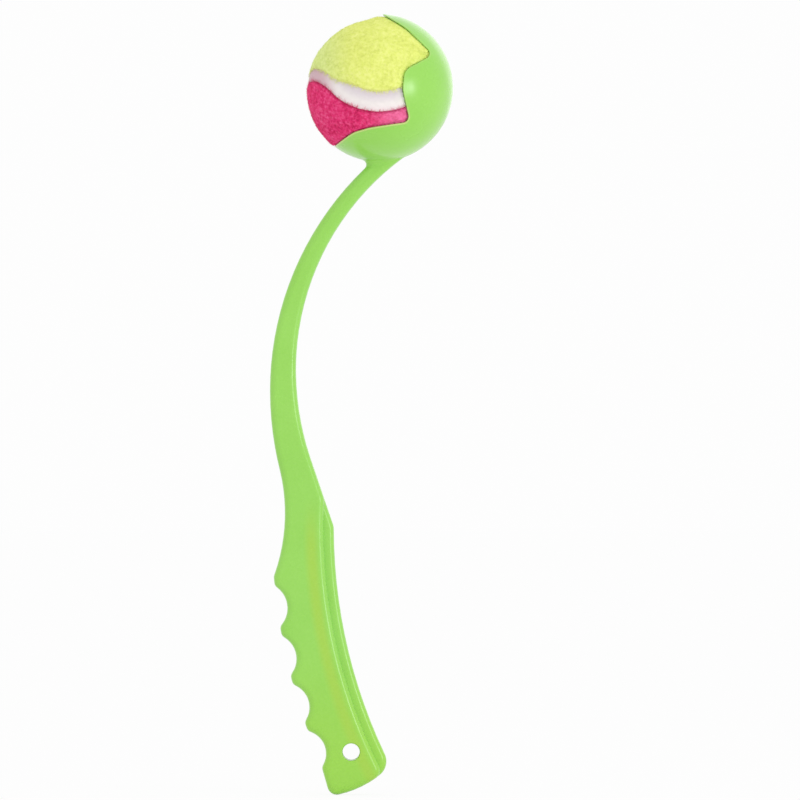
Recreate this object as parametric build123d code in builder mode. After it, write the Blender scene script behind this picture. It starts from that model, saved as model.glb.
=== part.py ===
from build123d import *
import math
import os

os.makedirs("parts", exist_ok=True)

# Frame: millimetres, +Z up, Y = 0 is the launcher's mirror plane, origin at the hang hole's centre.

# Ball
ball_radius = 31.2
felt_thickness = 2.6
seam_depth = 0.7
core_wall = 3.3
ball_clearance = 0.3
seam_width = 8.0
seam_waist = 21.0
seam_slant = 1.13
ball_x_way = (0.292, 0.646, -0.705)
ball_z_way = (-0.792, 0.576, 0.2)

# Cup
cup_wall = 2.8
cup_x = 13.15
cup_z = 307.3
cup_offset = 0.95
cup_offset_angle = 98.0
mouth_angle = 159.0
rim_round = 0.3
neck_round = 2.4

# Handle, laid out along an arc about a far centre
handle_back_radius = 244.5
handle_width = 28.8
handle_thickness = 15.0
handle_round = 3.0
flange_width = 4.8
flange_thickness = 9.0
flange_round = 2.8
kink_lead = 22.6
kink_round = 8.0
butt_bulge = 3.0
butt_flare = 2.6
butt_front_round = 4.5
butt_back_round = 8.0

# Hang hole
hole_radius = 4.0
hole_round = 0.8
hole_inset = 13.75
hole_to_butt = 13.9
hole_angle = 23.7

# Finger grooves, each a little narrower than the one above
finger_count = 4
finger_width = 19.15
finger_taper = 0.43
finger_depth = 4.8
crest_width = 4.4
crest_round = 3.2
butt_tail = 11.6
index_rest_length = 50.0
index_rest_set_back = 2.2

# Shaft
shaft_width = 12.1
shaft_thickness = 11.5
shaft_front_x = -37.7
shaft_front_z = 167.7
shaft_back_z = 177.4
shaft_root_x = -18.8
shaft_root_z = 136.1
taper_low = 95.0
taper_high = 185.0
neck_front_angle = -95.0
neck_back_angle = -67.5

core_radius = ball_radius - felt_thickness
cavity_radius = ball_radius + ball_clearance
cup_radius = cavity_radius + cup_wall
neck_radius = cavity_radius + cup_wall / 2
rim_fillet = min(rim_round, (cup_wall - cup_offset) / 6)
crest_radius = handle_back_radius + handle_width
step_radius = handle_back_radius + flange_width
flange_root_radius = handle_back_radius + handle_width / 2
hole_reach = handle_back_radius + hole_inset
handle_x = hole_reach * math.cos(math.radians(hole_angle))
handle_z = hole_reach * math.sin(math.radians(hole_angle))
finger_widths = [finger_width - finger * finger_taper for finger in range(finger_count)]
grip_length = sum(finger_widths) + finger_count * crest_width

# Angles along the handle's arc, in degrees below the level of its centre
butt_angle = hole_angle + math.degrees(hole_to_butt / hole_reach)
last_crest_angle = butt_angle - math.degrees(butt_tail / crest_radius)
first_crest_angle = last_crest_angle - math.degrees(grip_length / crest_radius)
rest_end_angle = first_crest_angle - math.degrees(crest_width / 2 / crest_radius)
rest_start_angle = rest_end_angle - math.degrees(index_rest_length / crest_radius)
kink_angle = first_crest_angle - math.degrees(kink_lead / handle_back_radius)


def handle_point(radius, angle):
    """A point of the side view, by its distance from the handle's arc centre and its angle below it."""
    turn = math.radians(angle)
    return (handle_x - radius * math.cos(turn), handle_z - radius * math.sin(turn))


def cup_point(radius, angle):
    """A point of the side view, by its distance and direction from the cup's centre."""
    turn = math.radians(angle)
    return (cup_x + radius * math.cos(turn), cup_z + radius * math.sin(turn))


def on_crest(vertex):
    """Whether a side-view corner is at a finger crest, above the butt."""
    reach = math.hypot(vertex.X - handle_x, vertex.Y - handle_z)
    clear_of_butt = math.dist((vertex.X, vertex.Y), butt_front) > butt_tail / 4
    return reach > crest_radius - 0.01 and clear_of_butt and vertex.Y < rest_end[1] + 0.01


def off_handle_arc(edge, radius):
    """Whether an edge keeps off a circle about the handle's arc centre."""
    middle = edge @ 0.5
    return abs(math.hypot(middle.X - handle_x, middle.Z - handle_z) - radius) > 0.01


def on_step(vertex):
    """Whether a side-view corner of the handle lies on the step between the plate and the flange."""
    reach = math.hypot(vertex.X - handle_x, vertex.Y - handle_z)
    return abs(reach - step_radius) < 0.01 and vertex.Y < shaft_front_z


def on_side(edge):
    """Whether an edge of the plate runs along one of its two sides, other than across its top end."""
    beside = abs(edge.center().Y) > shaft_thickness / 2 - 0.01
    upright = edge.bounding_box().size.Z > 0.01
    return beside and upright and edge.geom_type != GeomType.LINE


# Side view of the shaft and handle
shaft_front = (shaft_front_x, shaft_front_z)
shaft_back = (shaft_front_x + shaft_width, shaft_back_z)
shaft_root = (shaft_root_x, shaft_root_z)
neck_front = cup_point(neck_radius, neck_front_angle)
neck_back = cup_point(neck_radius, neck_back_angle)
rest_start = handle_point(crest_radius - index_rest_set_back, rest_start_angle)
rest_end = handle_point(crest_radius, rest_end_angle)
last_groove = handle_point(crest_radius, last_crest_angle - math.degrees(crest_width / crest_radius))
butt_front = handle_point(crest_radius + butt_flare, butt_angle)
butt_back = handle_point(handle_back_radius, butt_angle)
butt_middle = handle_point(handle_back_radius + handle_width / 2, butt_angle)
kink = handle_point(handle_back_radius, kink_angle)
view_low = butt_front[1] - handle_width
mouth_turn = math.radians(mouth_angle)
mouth_way = (math.cos(mouth_turn), 0, math.sin(mouth_turn))
cup_plane = Plane(origin=(cup_x, 0, cup_z), x_dir=mouth_way, z_dir=(0, 1, 0))
shell_x, shell_z = cup_point(cup_offset, cup_offset_angle)
shell_plane = Plane(origin=(shell_x, 0, shell_z), x_dir=mouth_way, z_dir=(0, 1, 0))
ball_plane = Plane(origin=(cup_x, 0, cup_z), x_dir=ball_x_way, z_dir=ball_z_way)
turned_plane = Plane(origin=(cup_x, 0, cup_z), x_dir=ball_plane.y_dir, z_dir=-ball_plane.z_dir)


def seam_cone(corner_angle, tip_angle):
    """Lean below level and half angle of the cone whose circle rounds one end of a felt panel."""
    drop = math.cos(corner_angle) - math.sin(tip_angle)
    length = math.hypot(math.cos(tip_angle), drop)
    half_angle = math.acos(math.cos(tip_angle) * math.cos(corner_angle) / length)
    return (math.atan2(drop, math.cos(tip_angle)), half_angle)


def cone_planes(panel_plane, cone, axis):
    """Planes at the ball's centre whose Z points back along each of two opposite cones."""
    lean = cone[0] if axis == Axis.X else -cone[0]
    level = panel_plane.x_dir if axis == Axis.X else panel_plane.y_dir
    closing_side = panel_plane.z_dir if axis == Axis.X else -panel_plane.z_dir
    ways = [side * level * math.cos(lean) - panel_plane.z_dir * math.sin(lean) for side in (1, -1)]
    return [Plane(origin=panel_plane.origin, x_dir=closing_side, z_dir=-way) for way in ways]


seam_half = seam_width / 2 / ball_radius
corner_shift = seam_half * seam_slant
end_cone = seam_cone(math.pi / 4 - corner_shift, math.radians(seam_waist) + seam_half)
waist_cone = seam_cone(math.pi / 4 + corner_shift, math.radians(seam_waist) - seam_half)
cone_reach = 2 * ball_radius
apex_down = (Align.CENTER, Align.CENTER, Align.MAX)
# A felt sphere is turned so that the line where its surface closes runs into the waist, clear of the ends
sphere_turn = (0, 0, 90)


def dog_bone(panel_plane, inner_radius, outer_radius):
    """Form of one felt panel between two radii: a waisted middle over the pole and two rounded ends below it."""
    with BuildPart() as ends:
        for end_plane in cone_planes(panel_plane, end_cone, Axis.X):
            with Locations(end_plane):
                Cone(cone_reach * math.tan(end_cone[1]), 0, cone_reach, align=apex_down)
        with Locations(panel_plane):
            Sphere(outer_radius, rotation=sphere_turn, mode=Mode.INTERSECT)
            Sphere(inner_radius, rotation=sphere_turn, mode=Mode.SUBTRACT)
        split(bisect_by=panel_plane, keep=Keep.BOTTOM)
    with BuildPart() as bone:
        with Locations(panel_plane):
            Sphere(outer_radius, rotation=sphere_turn)
            Sphere(inner_radius, rotation=sphere_turn, mode=Mode.SUBTRACT)
        split(bisect_by=panel_plane, keep=Keep.TOP)
        for waist_plane in cone_planes(panel_plane, waist_cone, Axis.Y):
            with Locations(waist_plane):
                Cone(cone_reach * math.tan(waist_cone[1]), 0, cone_reach, align=apex_down, mode=Mode.SUBTRACT)
        add(ends.part)
    return bone.part


# Rim of the cup in the side view, in shares of the cup's radius: top finger, side lobe, scoop lip
finger_start = (-0.16, 1.145)
finger_middle = (0.36, 0.81)
upper_notch = (0.725, 0.452)
lobe_top = (0.342, 0.235)
lobe_tip = (0.31, -0.02)
lower_notch = (0.41, -0.455)
lip_middle = (-0.13, -0.535)
lip_bend = (-0.35, -0.594)
lip_end = (-0.85, -0.925)
rim_places = (
    finger_start,
    finger_middle,
    upper_notch,
    lobe_top,
    lobe_tip,
    lower_notch,
    lip_middle,
    lip_bend,
    lip_end,
)
rim_corners = (
    (finger_middle, 24.0),
    (upper_notch, 2.8),
    (lobe_top, 6.0),
    (lobe_tip, 14.0),
    (lower_notch, 3.0),
    (lip_middle, 14.0),
    (lip_bend, 14.0),
)


def rim_point(across, up):
    """A point of the side view, in shares of the cup's radius from its centre."""
    return (cup_x + across * cup_radius, cup_z + up * cup_radius)


with BuildSketch() as side_view:
    with BuildLine():
        TangentArc(shaft_front, neck_front, tangent=(0, 1))
        front_lower = TangentArc(shaft_front, rest_start, tangent=(0, -1))
        TangentArc(rest_start, rest_end, tangent=front_lower % 1)
        ThreePointArc(rest_end, handle_point(crest_radius, first_crest_angle), last_groove)
        Line(last_groove, butt_front)
        ThreePointArc(butt_front, (butt_middle[0], butt_middle[1] - butt_bulge), butt_back)
        ThreePointArc(butt_back, handle_point(handle_back_radius, first_crest_angle), kink)
        back_lower = TangentArc(shaft_back, shaft_root, tangent=(0, -1))
        TangentArc(shaft_root, kink, tangent=back_lower % 1)
        TangentArc(shaft_back, neck_back, tangent=(0, 1))
        Line(neck_back, neck_front)
    make_face()
    groove_end = crest_width / 2
    for width in finger_widths:
        groove_angle = first_crest_angle + math.degrees((groove_end + width / 2) / crest_radius)
        finger_radius = (width**2 / 4 + finger_depth**2) / (2 * finger_depth)
        with Locations(handle_point(crest_radius - finger_depth + finger_radius, groove_angle)):
            Circle(finger_radius, mode=Mode.SUBTRACT)
        groove_end += width + crest_width
    crests = [vertex for vertex in side_view.vertices() if on_crest(vertex)]
    fillet(crests, radius=crest_round)
    fillet(side_view.vertices().sort_by_distance(butt_front)[0], radius=butt_front_round)

# Side view of the thick plate, which stops short of the handle's back at a step
with BuildSketch() as plate_view:
    add(side_view.sketch)
    with Locations((handle_x, handle_z)):
        Circle(step_radius, mode=Mode.SUBTRACT)
    step_low, *_, step_high = plate_view.vertices().filter_by(on_step).sort_by(Axis.Y)
    flange_top = step_high.Y + kink_round
    fillet(step_high, radius=kink_round)
    fillet(plate_view.vertices().sort_by_distance(step_low)[0], radius=butt_front_round)

# Thin flange along the handle's back
with BuildPart() as grip_flange:
    with BuildSketch(Plane.XZ) as flange_outline:
        add(side_view.sketch)
        fillet(flange_outline.vertices().sort_by_distance(kink)[0], radius=kink_round)
        fillet(flange_outline.vertices().sort_by_distance(butt_back)[0], radius=butt_back_round)
        with Locations((handle_x, handle_z)):
            Circle(flange_root_radius, mode=Mode.INTERSECT)
        with Locations((handle_x, flange_top)):
            Rectangle(2 * crest_radius, 2 * crest_radius, align=(Align.CENTER, Align.MAX), mode=Mode.INTERSECT)
    extrude(amount=flange_thickness / 2, both=True)
    flange_sides = grip_flange.edges().filter_by(GeomType.CIRCLE)
    fillet([edge for edge in flange_sides if off_handle_arc(edge, flange_root_radius)], radius=flange_round)

# Launcher: shaft and handle plate, then the flange, the cup and the hang hole
with BuildPart() as launcher:
    with BuildSketch(Plane.XZ):
        add(plate_view.sketch)
    extrude(amount=handle_thickness / 2, both=True)
    with BuildSketch(Plane.YZ) as front_view:
        with BuildLine():
            Line((-handle_thickness / 2, view_low), (handle_thickness / 2, view_low))
            for side in (-1, 1):
                handle_edge = side * handle_thickness / 2
                shaft_edge = side * shaft_thickness / 2
                Line((handle_edge, view_low), (handle_edge, taper_low))
                Spline((handle_edge, taper_low), (shaft_edge, taper_high), tangents=((0, 1), (0, 1)))
                Line((shaft_edge, taper_high), (shaft_edge, cup_z))
            Line((-shaft_thickness / 2, cup_z), (shaft_thickness / 2, cup_z))
        make_face()
    extrude(amount=crest_radius, both=True, mode=Mode.INTERSECT)
    fillet(launcher.edges().filter_by(on_side), radius=handle_round)
    add(grip_flange.part)
    with Locations(shell_plane):
        Sphere(cup_radius)
    fillet(launcher.edges(Select.NEW), radius=neck_round)
    with Locations(cup_plane):
        Sphere(cavity_radius, mode=Mode.SUBTRACT)
        Cylinder(
            cavity_radius,
            cup_radius,
            rotation=(0, 90, 0),
            align=(Align.CENTER, Align.CENTER, Align.MIN),
            mode=Mode.SUBTRACT,
        )
    with BuildSketch(Plane.XZ) as mouth:
        with BuildLine():
            rim = Polyline([rim_point(*place) for place in rim_places])
            Polyline(
                rim @ 1,
                (cup_x - 2 * cup_radius, (rim @ 1).Y),
                (cup_x - 2 * cup_radius, (rim @ 0).Y),
                rim @ 0,
            )
        make_face()
        for place, radius in rim_corners:
            fillet(mouth.vertices().sort_by_distance(rim_point(*place))[0], radius=radius)
    extrude(amount=2 * cup_radius, both=True, mode=Mode.SUBTRACT)
    rim_edges = launcher.edges(Select.NEW).filter_by(Axis.Y, reverse=True)
    fillet(rim_edges, radius=rim_fillet)
    with BuildSketch(Plane.XZ):
        Circle(hole_radius)
    extrude(amount=handle_thickness, both=True, mode=Mode.SUBTRACT)
    fillet(launcher.edges(Select.NEW).filter_by(GeomType.CIRCLE), radius=hole_round)

launcher.part.label = "launcher"
export_step(launcher.part, "parts/launcher.step")


# Ball: two core half-shells bonded along their rims
for half_name, kept_half in (("core_front_half", Keep.TOP), ("core_back_half", Keep.BOTTOM)):
    with BuildPart() as core_half:
        with Locations(ball_plane):
            Sphere(core_radius)
            Sphere(core_radius - core_wall, mode=Mode.SUBTRACT)
        split(bisect_by=ball_plane, keep=kept_half)
    core_half.part.label = half_name
    export_step(core_half.part, f"parts/{half_name}.step")

# Felt panels: the same dog-bone, one turned over onto the other's gap
panel_planes = {"felt_yellow": ball_plane, "felt_magenta": turned_plane}
for panel_name, panel_plane in panel_planes.items():
    panel_form = dog_bone(panel_plane, core_radius, ball_radius)
    with BuildPart() as felt_panel:
        add(panel_form)
    felt_panel.part.label = panel_name
    export_step(felt_panel.part, f"parts/{panel_name}.step")

# Seam strip filling the gap between the panels
cut_inner = core_radius - felt_thickness
cut_outer = ball_radius + felt_thickness
panel_cuts = [dog_bone(panel_plane, cut_inner, cut_outer) for panel_plane in panel_planes.values()]
with BuildPart() as seam_strip:
    with Locations(ball_plane):
        Sphere(ball_radius - seam_depth)
        Sphere(core_radius, mode=Mode.SUBTRACT)
    add(panel_cuts, mode=Mode.SUBTRACT)

seam_strip.part.label = "seam_strip"
export_step(seam_strip.part, "parts/seam_strip.step")
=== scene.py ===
import math
import random
import bmesh
import bpy
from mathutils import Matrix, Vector, noise
from mathutils.bvhtree import BVHTree


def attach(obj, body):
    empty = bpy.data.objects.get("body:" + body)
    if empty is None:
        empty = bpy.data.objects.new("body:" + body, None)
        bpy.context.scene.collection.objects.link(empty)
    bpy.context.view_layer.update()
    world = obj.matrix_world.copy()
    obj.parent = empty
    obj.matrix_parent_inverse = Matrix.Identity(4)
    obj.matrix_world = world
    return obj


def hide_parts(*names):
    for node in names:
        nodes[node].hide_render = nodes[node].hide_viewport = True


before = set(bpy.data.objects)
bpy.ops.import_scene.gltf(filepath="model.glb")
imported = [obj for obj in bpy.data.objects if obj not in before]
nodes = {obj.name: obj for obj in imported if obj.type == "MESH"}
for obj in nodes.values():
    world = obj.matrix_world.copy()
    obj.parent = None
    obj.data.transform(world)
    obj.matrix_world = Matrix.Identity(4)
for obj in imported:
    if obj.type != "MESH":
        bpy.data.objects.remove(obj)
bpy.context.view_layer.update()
scene = bpy.context.scene

# Sizes in metres, in the frame of the solids
mm = 0.001
cup_centre = Vector((13.15, 0.0, 307.3)) * mm
nap_centre = Vector((12.6, 0.0, 306.9)) * mm
nap_radius = 33.1 * mm
handle_centre = Vector((236.47, 0.0, 103.80)) * mm
handle_back_radius = 244.5 * mm
floor_height = -20.0 * mm
floor_half = 8.0
view_x = 22.67 * mm
view_z = 163.27 * mm
camera_distance = 4.0

# The ball's own axes and the direction of the cup's finger, from the ball's centre
ball_x = Vector((0.292, 0.646, -0.705)).normalized()
ball_z = Vector((-0.792, 0.576, 0.2)).normalized()
ball_y = ball_z.cross(ball_x)
finger_way = Vector((0.02, 0.0, 1.0)).normalized()

# The seam, which bends away from the finger within a span of angles
seam_corner = math.pi / 4
seam_waist = math.radians(21.0)
seam_half = 4.0 * mm
seam_bend = 9.0 * mm
bend_span = (math.radians(6.0), math.radians(42.0))
seam_under = 1.2 * mm
seam_recess = 0.5 * mm
pressed_recess_share = 0.3
seam_sag = 0.5 * mm
seam_lump_share = 0.4

# The felt's surface and edges
sphere_level = 7
felt_depth = 2.2 * mm
edge_roll = 1.5 * mm
border_span = (0.2 * mm, 1.4 * mm)
tuck = 0.9 * mm
lump_height = 0.16 * mm
lump_length = 4.0 * mm
pimple_height = 0.10 * mm
pimple_length = 1.3 * mm

# How the cup presses the nap, and how yellow nap swells up to a rim that stands off it
pressed_radius = 31.25 * mm
wall_gap = 0.08 * mm
cast_length = 2.0 * nap_radius
press_start = 0.05 * mm
press_end_crisp = 0.3 * mm
press_end_soft = 1.3 * mm
crisp_span = (-1.3 * seam_half, -0.8 * seam_half)
press_depth = 0.9 * mm
pressed_lump_share = 0.35
pressed_sink = 0.08 * mm
fluff_height = 1.45 * mm
fluff_reach = 10.0 * mm
fluff_span = (0.85 * seam_half, 1.5 * seam_half)

# Fibres: spans of length, lift and half width in millimetres, and of bend as a share of the length
fibre_count = 9000
fibre_length = (1.1, 2.3)
fibre_lift = (0.10, 0.42)
fibre_half_width = (0.05, 0.085)
fibre_bend = (-0.5, 0.5)
middle_bend_share = 0.3
tip_share = 0.9
fibre_shade = 0.25
root_depth = 0.5 * mm

# The fringe along the felt's edge, with longer fibres and more of them
fringe = 1.6 * mm
fringe_stretch = 1.3
fringe_shade = 0.35
fringe_extra = 2

# Overhang of the yellow nap in millimetres, by how far a direction points left or right
overlap_least = -0.9
overlap_rise = 3.9
left_overlap = (0.34, 0.68)
right_overlap = (0.30, 0.60)

# Places of painted side light on the felt panels and painted shade on the seam, by the parts of a direction
side_light_most = 0.4
yellow_shade_span = (0.3, 0.9)
lobe_light_in = (-0.25, 0.3)
lobe_light_out = (0.35, 0.85)
near_light_span = (-0.4, 0.2)
# Painted shade on the seam's left end, away from the key lamp
seam_shade_most = 0.6
seam_shade_span = (0.55, 0.85)

# Where the launcher's plastic changes tone, and how much, with a painted warm reflection on the handle and
# a painted highlight on the cup's rim
# The warm band beside the handle's flange is a painted warm reflection
reflection_rise = (handle_back_radius + 6.5 * mm, handle_back_radius + 10.0 * mm)
reflection_fall = (handle_back_radius + 11.0 * mm, handle_back_radius + 15.0 * mm)
reflection_heights = (92.0 * mm, 120.0 * mm)
reflection_most = 0.8
butt_heights = (-10.0 * mm, 60.0 * mm)
butt_most = 0.8
grain_share = 0.10
# A painted highlight along the cup's rim edges, strongest at the lip
rim_highlight_radius = 1.5 * mm
edge_cosines = (0.90, 0.99)
cup_reach = (36.0 * mm, 38.0 * mm)
lip_heights = (290.0 * mm, 302.0 * mm)
lip_highlight = 0.95
lobe_highlight = 0.2
parting_span = (0.10 * mm, 0.35 * mm)

# Tones as linear red, green and blue
lime_dark = (0.302, 0.684, 0.089)
lime_light = (0.328, 0.716, 0.106)
butt_tone = (0.350, 0.695, 0.060)
# Painted warm reflection beside the handle's flange
reflection_tone = (0.405, 0.665, 0.058)
grain_dark = (0.23, 0.56, 0.06)
grain_light = (0.39, 0.73, 0.16)
# Painted highlight along the cup's rim
rim_highlight_tone = (0.82, 0.74, 0.34)
core_dark = (0.060, 0.058, 0.055)
core_light = (0.085, 0.082, 0.078)
cement_lilac = (0.77, 0.69, 0.74)
cement_warm = (0.93, 0.87, 0.85)
cement_whitest = (0.98, 0.89, 0.89)
cement_worn = (0.70, 0.66, 0.65)
# Painted shade on the seam's left end, pinkish grey
cement_shade = (0.52, 0.22, 0.30)
floor_tone = (0.9, 0.9, 0.9)
floor_white = (0.996, 0.996, 0.996)
sky_tone = (1.0, 1.0, 1.0)
sky_white = (0.985, 0.985, 0.985)

# Spans of roughness over the usual span of a noise, and levels of light
noise_span = (0.3, 0.7)
lime_roughness = (0.22, 0.30)
felt_roughness = (0.86, 0.98)
core_roughness = (0.70, 0.85)
cement_roughness = (0.72, 0.86)
floor_whiteness = 0.92
sky_strength = 0.93


def smooth_step(low, high, value):
    """0 below low, 1 above high and a smooth rise between."""
    share = min(max((value - low) / (high - low), 0.0), 1.0)
    return share * share * (3.0 - 2.0 * share)


# Camera, looking along +Y at the launcher's side
camera_data = bpy.data.cameras.new("camera")
camera_data.sensor_width = 36.0
camera_data.lens = 387.5
camera_data.clip_end = 60.0
camera = bpy.data.objects.new("camera", camera_data)
camera.location = (view_x, -camera_distance, view_z)
camera.rotation_euler = (math.radians(90.0), 0.0, 0.0)
scene.collection.objects.link(camera)
scene.camera = camera


def new_material(name):
    """A node material with its shader and a reader of object coordinates."""
    material = bpy.data.materials.new(name)
    material.use_nodes = True
    tree = material.node_tree
    shader = tree.nodes["Principled BSDF"]
    coordinates = tree.nodes.new("ShaderNodeTexCoord")
    return material, tree, shader, coordinates.outputs["Object"]


def noise_node(tree, place, scale, detail=2.0, rough=0.5):
    """A noise texture at a scale per metre."""
    node = tree.nodes.new("ShaderNodeTexNoise")
    node.inputs["Scale"].default_value = scale
    node.inputs["Detail"].default_value = detail
    node.inputs["Roughness"].default_value = rough
    tree.links.new(place, node.inputs["Vector"])
    return node.outputs["Fac"]


def attribute_node(tree, name):
    """A value that a mesh carries at each of its points."""
    node = tree.nodes.new("ShaderNodeAttribute")
    node.attribute_name = name
    return node.outputs["Fac"]


def ramp_node(tree, value, stops):
    """A colour ramp through (position, colour) stops."""
    node = tree.nodes.new("ShaderNodeValToRGB")
    ramp = node.color_ramp
    while len(ramp.elements) < len(stops):
        ramp.elements.new(0.5)
    for element, (position, colour) in zip(ramp.elements, stops):
        element.position = position
        element.color = (*colour, 1.0)
    tree.links.new(value, node.inputs["Fac"])
    return node.outputs["Color"]


def range_node(tree, value, span, result):
    """A value carried smoothly from one span of values to another."""
    node = tree.nodes.new("ShaderNodeMapRange")
    node.interpolation_type = "SMOOTHSTEP"
    node.inputs["From Min"].default_value = span[0]
    node.inputs["From Max"].default_value = span[1]
    node.inputs["To Min"].default_value = result[0]
    node.inputs["To Max"].default_value = result[1]
    tree.links.new(value, node.inputs["Value"])
    return node.outputs["Result"]


def math_node(tree, operation, first, second=0.0):
    """A sum, product or other result of one or two values; each is a socket or a fixed value."""
    node = tree.nodes.new("ShaderNodeMath")
    node.operation = operation
    for socket, value in zip(node.inputs, (first, second)):
        if isinstance(value, (int, float)):
            socket.default_value = value
        else:
            tree.links.new(value, socket)
    return node.outputs["Value"]


def weighted_node(tree, first, second, share):
    """Two values in one: the first by its share and the second by the rest."""
    part = math_node(tree, "MULTIPLY", first, share)
    rest = math_node(tree, "MULTIPLY", second, 1.0 - share)
    return math_node(tree, "ADD", part, rest)


def mix_node(tree, share, first, second):
    """Two colours mixed by a share; each is a socket or a fixed value."""
    node = tree.nodes.new("ShaderNodeMix")
    node.data_type = "RGBA"
    if isinstance(share, (int, float)):
        node.inputs["Factor"].default_value = share
    else:
        tree.links.new(share, node.inputs["Factor"])
    # The colour sockets share their names with others, so they are taken by number
    for socket, value in zip((node.inputs[6], node.inputs[7]), (first, second)):
        if isinstance(value, tuple):
            socket.default_value = (*value, 1.0)
        else:
            tree.links.new(value, socket)
    return node.outputs[2]


def bump_node(tree, height, distance, strength, under=None):
    """A bump of a height field, over another bump where one is given."""
    node = tree.nodes.new("ShaderNodeBump")
    node.inputs["Distance"].default_value = distance
    node.inputs["Strength"].default_value = strength
    tree.links.new(height, node.inputs["Height"])
    if under is not None:
        tree.links.new(under, node.inputs["Normal"])
    return node.outputs["Normal"]


def distance_node(tree, place, point):
    """Distance of the surface from a point."""
    node = tree.nodes.new("ShaderNodeVectorMath")
    node.operation = "DISTANCE"
    node.inputs[1].default_value = point
    tree.links.new(place, node.inputs[0])
    return node.outputs["Value"]


def edge_node(tree, radius):
    """1 along the sharp edges of a solid, falling to 0 on its faces at a distance from them."""
    rounded = tree.nodes.new("ShaderNodeBevel")
    rounded.samples = 8
    rounded.inputs["Radius"].default_value = radius
    surface = tree.nodes.new("ShaderNodeNewGeometry")
    turn = tree.nodes.new("ShaderNodeVectorMath")
    turn.operation = "DOT_PRODUCT"
    tree.links.new(rounded.outputs["Normal"], turn.inputs[0])
    tree.links.new(surface.outputs["Normal"], turn.inputs[1])
    return range_node(tree, turn.outputs["Value"], edge_cosines, (1.0, 0.0))


def lime_plastic():
    """Moulded lime polypropylene with a soft mottle and a fine grain.

    The handle has a warm butt and a painted warm reflection beside its flange, the cup a painted
    highlight along its rim, and the whole moulding a faint parting line.
    """
    material, tree, shader, place = new_material("lime_plastic")
    links = tree.links
    split = tree.nodes.new("ShaderNodeSeparateXYZ")
    links.new(place, split.inputs["Vector"])
    height = split.outputs["Z"]
    mottle = noise_node(tree, place, scale=38.0, detail=4.0, rough=0.55)
    body = ramp_node(tree, mottle, ((0.3, lime_dark), (0.7, lime_light)))
    butt = range_node(tree, height, butt_heights, (butt_most, 0.0))
    lower = mix_node(tree, butt, body, butt_tone)
    reach = distance_node(tree, place, handle_centre)
    # Painted warm reflection: a warm band beside the handle's flange, on its lower part
    reflection_in = range_node(tree, reach, reflection_rise, (0.0, 1.0))
    reflection_out = range_node(tree, reach, reflection_fall, (1.0, 0.0))
    below = range_node(tree, height, reflection_heights, (reflection_most, 0.0))
    band = math_node(tree, "MULTIPLY", reflection_in, reflection_out)
    reflection_share = math_node(tree, "MULTIPLY", band, below)
    warm = mix_node(tree, reflection_share, lower, reflection_tone)
    grain = noise_node(tree, place, scale=900.0)
    grain_tone = ramp_node(tree, grain, ((0.35, grain_dark), (0.65, grain_light)))
    grained = mix_node(tree, grain_share, warm, grain_tone)
    # Painted highlight: a light cream line along the cup's rim edges, strongest at the lip
    at_cup = range_node(tree, distance_node(tree, place, cup_centre), cup_reach, (1.0, 0.0))
    at_lip = range_node(tree, height, lip_heights, (lip_highlight, lobe_highlight))
    wear_and_highlight = math_node(tree, "MULTIPLY", at_cup, at_lip)
    rim = math_node(tree, "MULTIPLY", edge_node(tree, rim_highlight_radius), wear_and_highlight)
    links.new(mix_node(tree, rim, grained, rim_highlight_tone), shader.inputs["Base Color"])
    cloud = noise_node(tree, place, scale=70.0, detail=3.0)
    links.new(range_node(tree, cloud, noise_span, lime_roughness), shader.inputs["Roughness"])
    off_middle = math_node(tree, "ABSOLUTE", split.outputs["Y"])
    parting = range_node(tree, off_middle, parting_span, (1.0, 0.0))
    line = bump_node(tree, parting, distance=0.12 * mm, strength=0.6)
    grit = noise_node(tree, place, scale=1500.0)
    skin = bump_node(tree, grit, distance=0.03 * mm, strength=0.35, under=line)
    links.new(skin, shader.inputs["Normal"])
    shader.inputs["IOR"].default_value = 1.5
    shader.inputs["Sheen Weight"].default_value = 0.35
    shader.inputs["Sheen Roughness"].default_value = 0.35
    shader.inputs["Sheen Tint"].default_value = (1.0, 1.0, 1.0, 1.0)
    return material


def felt(name, dark, middle, light, edge, side_light_tone, sheen, sheen_weight):
    """Short woolly nap with a fine speckle and a soft mottle.

    Painted side light changes its tone on one side of the ball, and it has another tone where it rolls
    under at the seam.
    """
    material, tree, shader, place = new_material(name)
    links = tree.links
    speckle = noise_node(tree, place, scale=720.0, detail=4.0, rough=0.7)
    mottle = noise_node(tree, place, scale=130.0, detail=3.0, rough=0.6)
    mixed = weighted_node(tree, speckle, mottle, share=0.7)
    body = ramp_node(tree, mixed, ((0.38, dark), (0.5, middle), (0.62, light)))
    # Painted side light mixed over the felt's tone
    side_lit = mix_node(tree, attribute_node(tree, "side_lit_share"), body, side_light_tone)
    edged = mix_node(tree, attribute_node(tree, "border"), side_lit, edge)
    links.new(edged, shader.inputs["Base Color"])
    links.new(range_node(tree, mottle, noise_span, felt_roughness), shader.inputs["Roughness"])
    tufts = noise_node(tree, place, scale=420.0, detail=3.0, rough=0.6)
    coarse = bump_node(tree, tufts, distance=0.4 * mm, strength=0.3)
    fine = bump_node(tree, speckle, distance=0.25 * mm, strength=0.4, under=coarse)
    links.new(fine, shader.inputs["Normal"])
    shader.inputs["Specular IOR Level"].default_value = 0.15
    shader.inputs["Sheen Weight"].default_value = sheen_weight
    shader.inputs["Sheen Tint"].default_value = (*sheen, 1.0)
    shader.inputs["Sheen Roughness"].default_value = 0.55
    return material


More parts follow.
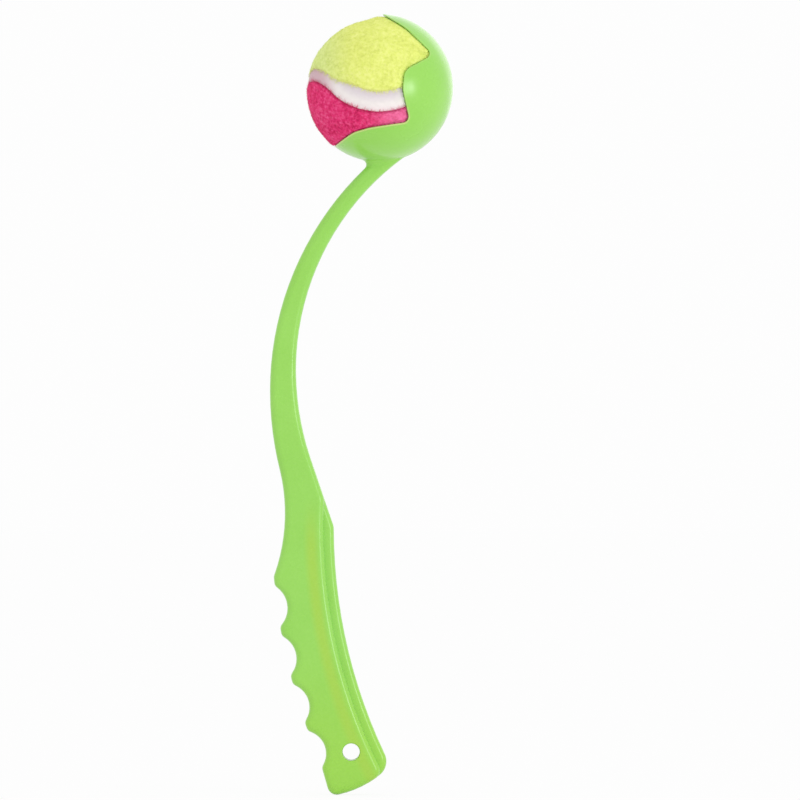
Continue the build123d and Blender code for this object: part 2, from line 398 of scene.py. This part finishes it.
def core_rubber():
    """Matt dark rubber with a fine grain."""
    material, tree, shader, place = new_material("core_rubber")
    links = tree.links
    grain = noise_node(tree, place, scale=600.0, detail=3.0, rough=0.6)
    broad = noise_node(tree, place, scale=90.0, detail=3.0, rough=0.6)
    tone = weighted_node(tree, grain, broad, share=0.4)
    body = ramp_node(tree, tone, ((0.35, core_dark), (0.65, core_light)))
    links.new(body, shader.inputs["Base Color"])
    links.new(range_node(tree, broad, noise_span, core_roughness), shader.inputs["Roughness"])
    links.new(bump_node(tree, grain, distance=0.15 * mm, strength=0.4), shader.inputs["Normal"])
    shader.inputs["Specular IOR Level"].default_value = 0.3
    return material


def cement():
    """The seam's white cement.

    It is lilac grey at the yellow felt, whiter at the magenta, and darker at one end with painted shade.
    """
    material, tree, shader, place = new_material("seam_rubber")
    links = tree.links
    stops = ((0.2, cement_lilac), (0.55, cement_warm), (0.85, cement_whitest))
    body = ramp_node(tree, attribute_node(tree, "across"), stops)
    grain = noise_node(tree, place, scale=500.0, detail=3.0, rough=0.6)
    wear_and_highlight = range_node(tree, grain, (0.35, 0.75), (0.0, 0.25))
    worn = mix_node(tree, wear_and_highlight, body, cement_worn)
    # Painted shade darkens the seam's left end
    shaded_cement = mix_node(tree, attribute_node(tree, "painted_shade"), worn, cement_shade)
    links.new(shaded_cement, shader.inputs["Base Color"])
    links.new(range_node(tree, grain, noise_span, cement_roughness), shader.inputs["Roughness"])
    links.new(bump_node(tree, grain, distance=0.15 * mm, strength=0.4), shader.inputs["Normal"])
    shader.inputs["Specular IOR Level"].default_value = 0.3
    return material


def set_material(obj, material):
    """Gives an object this one material."""
    obj.data.materials.clear()
    obj.data.materials.append(material)


# The launcher and the ball's core keep their solids
set_material(nodes["launcher"], lime_plastic())
core_material = core_rubber()
for core in ("core_front_half", "core_back_half"):
    set_material(nodes[core], core_material)


def seam_cone(corner_angle, tip_angle):
    """Lean and half angle of the cone whose circle rounds one end of a felt panel."""
    drop = math.cos(corner_angle) - math.sin(tip_angle)
    length = math.hypot(math.cos(tip_angle), drop)
    lean_angle = math.atan2(drop, math.cos(tip_angle))
    half_angle = math.acos(math.cos(tip_angle) * math.cos(corner_angle) / length)
    return lean_angle, half_angle


# Axes of the cones that round the two ends of the yellow panel and of the magenta one
lean, cone_half = seam_cone(seam_corner, seam_waist)
yellow_ends = [side * ball_x * math.cos(lean) - ball_z * math.sin(lean) for side in (1, -1)]
magenta_ends = [side * ball_y * math.cos(lean) + ball_z * math.sin(lean) for side in (1, -1)]


def seam_distance(way):
    """Distance over the ball from the seam's middle line, which bends away from the cup's finger.

    It is above 0 on the yellow panel and below 0 on the magenta one.
    """
    if way.dot(ball_z) >= 0.0:
        angle = min(way.angle(axis) for axis in magenta_ends) - cone_half
    else:
        angle = cone_half - min(way.angle(axis) for axis in yellow_ends)
    near_finger = 1.0 - smooth_step(*bend_span, way.angle(finger_way))
    return angle * nap_radius + seam_bend * near_finger


def overlap(way):
    """How far the yellow nap hangs over the seam.

    It hangs over it at the ball's two sides and stays short of it between them.
    """
    sides = smooth_step(*left_overlap, -way.x) + smooth_step(*right_overlap, way.x)
    return (overlap_least + overlap_rise * sides) * mm


def painted_side_light(side, way):
    """Share of painted side light on a panel.

    The yellow panel is painted greyer in shade far from the cup, away from the key lamp, and the magenta
    one painted paler in light beside the cup's near lobe, facing the lamp.
    """
    if side > 0:
        # Painted shade: the yellow panel greyer and bluer far from the cup, on the side away from the key
        # lamp
        return side_light_most * smooth_step(*yellow_shade_span, -way.x)
    # Painted light: the magenta panel paler beside the cup's near lobe, on the front facing the key lamp
    lobe_side = smooth_step(*lobe_light_in, way.x) * (1.0 - smooth_step(*lobe_light_out, way.x))
    return side_light_most * lobe_side * (1.0 - smooth_step(*near_light_span, way.y))


# The launcher's surface, to find where the cup meets the nap
launcher_mesh = bmesh.new()
launcher_mesh.from_mesh(nodes["launcher"].data)
launcher_tree = BVHTree.FromBMesh(launcher_mesh)
launcher_mesh.free()


def free_reach(way):
    """Distance from the cup's centre to the free nap along a direction."""
    offset = cup_centre - nap_centre
    along = offset.dot(way)
    return -along + math.sqrt(along * along - offset.length_squared + nap_radius * nap_radius)


def felt_reach(way):
    """Distance from the cup's centre to the felt's outer surface, and how free of the cup it is, 0 to 1."""
    full = free_reach(way)
    side = seam_distance(way)
    fluff_limit = fluff_height * smooth_step(*fluff_span, side + overlap(way))
    # Inside the cup the nap stays within the wall
    wall = launcher_tree.ray_cast(cup_centre, way, cast_length)[3]
    if wall is not None:
        return min(full + fluff_limit, wall - wall_gap), 0.0
    # Beside the rim it is pressed, in a narrower line at the yellow felt and the seam than at the magenta
    place, _, _, near = launcher_tree.find_nearest(cup_centre + way * full)
    crisp = smooth_step(*crisp_span, side)
    press_end = press_end_soft + (press_end_crisp - press_end_soft) * crisp
    loose = smooth_step(press_start, press_end, near)
    overhang = max((place - cup_centre).length - full - wall_gap, 0.0)
    fluff = min(overhang, fluff_limit) * (1.0 - smooth_step(0.0, fluff_reach, near))
    pressed = max(pressed_radius, full - press_depth)
    return pressed + (full + fluff - pressed) * loose, loose


def lumps(point):
    """Soft unevenness of the felt's surface, and in part of the seam's."""
    broad = lump_height * noise.noise(point / lump_length)
    return broad + pimple_height * noise.noise(point / pimple_length)


# One fine sphere of directions is shared by the two felt panels and the seam
sphere = bmesh.new()
bmesh.ops.create_icosphere(sphere, subdivisions=sphere_level, radius=1.0)
sphere.verts.ensure_lookup_table()
ways = [vert.co.normalized() for vert in sphere.verts]
faces = [[vert.index for vert in face.verts] for face in sphere.faces]
sphere.free()
apart = [seam_distance(way) for way in ways]
reaches, free = zip(*(felt_reach(way) for way in ways))


def renumbered(kept):
    """The directions that some of the sphere's faces use, and those faces numbered by them."""
    used = sorted({index for face in kept for index in face})
    order = {index: place for place, index in enumerate(used)}
    return used, [tuple(order[index] for index in face) for face in kept]


def new_piece(name, verts, polys, layers, material):
    """A smooth mesh object with a material and with named values at its points."""
    mesh = bpy.data.meshes.new(name)
    mesh.from_pydata(verts, [], polys)
    for layer_name, values in layers.items():
        layer = mesh.attributes.new(layer_name, "FLOAT", "POINT")
        layer.data.foreach_set("value", values)
    mesh.polygons.foreach_set("use_smooth", [True] * len(mesh.polygons))
    obj = bpy.data.objects.new(name, mesh)
    scene.collection.objects.link(obj)
    set_material(obj, material)
    return obj


def felt_point(index, depth_from_edge):
    """A point of the felt's outer surface, rolled down towards the seam at its edge."""
    way = ways[index]
    reach = reaches[index]
    loose = free[index]
    share = min(max(1.0 - depth_from_edge / edge_roll, 0.0), 1.0)
    roll = felt_depth * (1.0 - math.sqrt(max(1.0 - share * share, 0.0)))
    under = max(-depth_from_edge, 0.0)
    lump_share = pressed_lump_share + (1.0 - pressed_lump_share) * loose
    rough = lumps(way * reach) * lump_share - pressed_sink * (1.0 - loose)
    return cup_centre + way * (reach - roll - under + rough)


def add_fibres(verts, polys, borders, owners, roots, seed):
    """Short curled fibres of the nap, as thin tapered strips that lie over the felt."""
    chance = random.Random(seed)
    for _ in range(fibre_count):
        index, depth = roots[chance.randrange(len(roots))]
        way = ways[index]
        root = felt_point(index, depth)
        spin = Vector((chance.gauss(0, 1), chance.gauss(0, 1), chance.gauss(0, 1)))
        flat = (spin - way * spin.dot(way)).normalized()
        length = chance.uniform(*fibre_length) * mm
        if depth < fringe:
            length *= fringe_stretch
            end_way = (way * nap_radius + flat * length).normalized()
            outward = abs(seam_distance(end_way)) < abs(apart[index])
            flat = flat if outward else -flat
        side = way.cross(flat)
        lift = chance.uniform(*fibre_lift) * mm * free[index]
        half_width = chance.uniform(*fibre_half_width) * mm
        bend = chance.uniform(*fibre_bend) * length
        # The ball's curve falls away by this much along the fibre, and by a quarter of it halfway
        drop = length * length / (2.0 * nap_radius)
        middle = root + flat * length * 0.5 + way * (lift - drop * 0.25) + side * bend * middle_bend_share
        tip = root + flat * length * tip_share + way * (lift * tip_share - drop) + side * bend
        strip = (
            root - side * half_width,
            root + side * half_width,
            middle + side * half_width,
            middle - side * half_width,
            tip,
        )
        first = len(verts)
        verts.extend(strip)
        polys.append((first, first + 1, first + 2, first + 3))
        polys.append((first + 3, first + 2, first + 4))
        shade = fibre_shade * chance.random() if depth > edge_roll else fringe_shade
        borders.extend((shade,) * len(strip))
        owners.extend((index,) * len(strip))


def felt_panel(name, material, node, side, seed):
    """One felt panel of the ball, its outer skin with the nap's fibres on it.

    Its side of the seam is 1 for the yellow panel and -1 for the magenta one.
    """
    depths = [side * distance - seam_half for distance in apart]
    if side > 0:
        depths = [depth + overlap(way) for depth, way in zip(depths, ways)]
    used, polys = renumbered([face for face in faces if max(depths[index] for index in face) > -tuck])
    verts = [felt_point(index, depths[index]) for index in used]
    borders = [1.0 - smooth_step(*border_span, depths[index]) for index in used]
    roots = [(index, depths[index]) for index in used if depths[index] > root_depth]
    roots += fringe_extra * [root for root in roots if root[1] < fringe]
    owners = list(used)
    add_fibres(verts, polys, borders, owners, roots, seed)
    # Painted side light at each point of the panel and of its fibres
    side_lit_share = [painted_side_light(side, ways[index]) for index in owners]
    obj = new_piece(name, verts, polys, {"border": borders, "side_lit_share": side_lit_share}, material)
    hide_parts(node)
    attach(obj, "ball")


# The last tone of each felt is painted side light: shade on the yellow, light on the magenta
yellow = felt(
    "yellow_felt",
    dark=(0.76, 0.83, 0.18),
    middle=(0.86, 0.93, 0.235),
    light=(0.93, 0.97, 0.31),
    edge=(0.80, 0.80, 0.30),
    side_light_tone=(0.68, 0.85, 0.46),
    sheen=(1.0, 1.0, 0.6),
    sheen_weight=0.10,
)
magenta = felt(
    "magenta_felt",
    dark=(0.66, 0.018, 0.120),
    middle=(0.87, 0.042, 0.200),
    light=(0.96, 0.130, 0.33),
    edge=(0.36, 0.007, 0.050),
    side_light_tone=(1.0, 0.34, 0.62),
    sheen=(1.0, 0.3, 0.5),
    sheen_weight=0.02,
)
felt_panel("yellow_panel", yellow, "felt_yellow", side=1, seed=11)
felt_panel("magenta_panel", magenta, "felt_magenta", side=-1, seed=12)


def seam_piece():
    """The cement seam, a rounded band that lies a little below the felt."""
    half = seam_half + seam_under
    used, polys = renumbered([face for face in faces if min(abs(apart[index]) for index in face) < half])
    across = [0.5 - 0.5 * apart[index] / half for index in used]
    # Painted shade at the seam's left end, away from the key lamp
    seam_shades = [seam_shade_most * smooth_step(*seam_shade_span, -ways[index].x) for index in used]
    verts = []
    for index in used:
        way = ways[index]
        recess_share = pressed_recess_share + (1.0 - pressed_recess_share) * free[index]
        reach = reaches[index] - seam_recess * recess_share
        sag = seam_sag * (apart[index] / half) ** 2
        verts.append(cup_centre + way * (reach - sag + seam_lump_share * lumps(way * reach)))
    obj = new_piece("seam", verts, polys, {"across": across, "painted_shade": seam_shades}, cement())
    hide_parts("seam_strip")
    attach(obj, "ball")


seam_piece()


def white_rays(tree):
    """1 for the rays that should meet plain white.

    Those are the rays of the camera, of reflections and of clear pieces.
    """
    path = tree.nodes.new("ShaderNodeLightPath")
    glossy = path.outputs["Is Glossy Ray"]
    clear = path.outputs["Is Transmission Ray"]
    indirect = math_node(tree, "MAXIMUM", glossy, clear)
    return math_node(tree, "MAXIMUM", path.outputs["Is Camera Ray"], indirect)


# Floor, white to the camera but still taking the shadow
floor_mesh = bpy.data.meshes.new("floor")
corner_signs = ((-1, -1), (1, -1), (1, 1), (-1, 1))
corners = [(x * floor_half, y * floor_half, floor_height) for x, y in corner_signs]
floor_mesh.from_pydata(corners, [], [(0, 1, 2, 3)])
floor = bpy.data.objects.new("floor", floor_mesh)
scene.collection.objects.link(floor)
floor_material = bpy.data.materials.new("floor_white")
floor_material.use_nodes = True
floor_tree = floor_material.node_tree
floor_shader = floor_tree.nodes["Principled BSDF"]
floor_shader.inputs["Base Color"].default_value = (*floor_tone, 1.0)
floor_shader.inputs["Roughness"].default_value = 0.9
floor_shader.inputs["Specular IOR Level"].default_value = 0.0
floor_glow = floor_tree.nodes.new("ShaderNodeEmission")
floor_glow.inputs["Color"].default_value = (*floor_white, 1.0)
floor_mix = floor_tree.nodes.new("ShaderNodeMixShader")
floor_share = math_node(floor_tree, "MULTIPLY", white_rays(floor_tree), floor_whiteness)
floor_tree.links.new(floor_share, floor_mix.inputs["Fac"])
floor_tree.links.new(floor_shader.outputs["BSDF"], floor_mix.inputs[1])
floor_tree.links.new(floor_glow.outputs["Emission"], floor_mix.inputs[2])
floor_tree.links.new(floor_mix.outputs["Shader"], floor_tree.nodes["Material Output"].inputs["Surface"])
set_material(floor, floor_material)

# World: soft even light, seen as white behind the object
world = bpy.data.worlds.new("world")
scene.world = world
world.use_nodes = True
world_tree = world.node_tree
world_light = world_tree.nodes["Background"]
world_light.inputs["Color"].default_value = (*sky_tone, 1.0)
world_light.inputs["Strength"].default_value = sky_strength
world_white = world_tree.nodes.new("ShaderNodeBackground")
world_white.inputs["Color"].default_value = (*sky_white, 1.0)
world_mix = world_tree.nodes.new("ShaderNodeMixShader")
world_tree.links.new(white_rays(world_tree), world_mix.inputs["Fac"])
world_tree.links.new(world_light.outputs["Background"], world_mix.inputs[1])
world_tree.links.new(world_white.outputs["Background"], world_mix.inputs[2])
world_tree.links.new(world_mix.outputs["Shader"], world_tree.nodes["World Output"].inputs["Surface"])


def area_light(name, place, target, width, height, power):
    """A soft oval lamp at a place, turned to a target."""
    data = bpy.data.lights.new(name, "AREA")
    data.shape = "ELLIPSE"
    data.size = width
    data.size_y = height
    data.energy = power
    lamp = bpy.data.objects.new(name, data)
    lamp.location = place
    lamp.rotation_euler = (Vector(target) - Vector(place)).to_track_quat("-Z", "Y").to_euler()
    lamp.visible_camera = False
    scene.collection.objects.link(lamp)
    return lamp


# A key lamp at the front right, and one behind that shows only in reflections
area_light(
    "key",
    place=(1.015, -0.86, 0.285),
    target=(0.0, 0.0, 0.22),
    width=0.22,
    height=0.40,
    power=2.8,
)
edge_lamp = area_light(
    "edge",
    place=(0.60, 1.43, 0.70),
    target=(0.0, 0.0, 0.20),
    width=1.2,
    height=1.2,
    power=2.0,
)
edge_lamp.visible_diffuse = False

scene.view_settings.view_transform = "Standard"
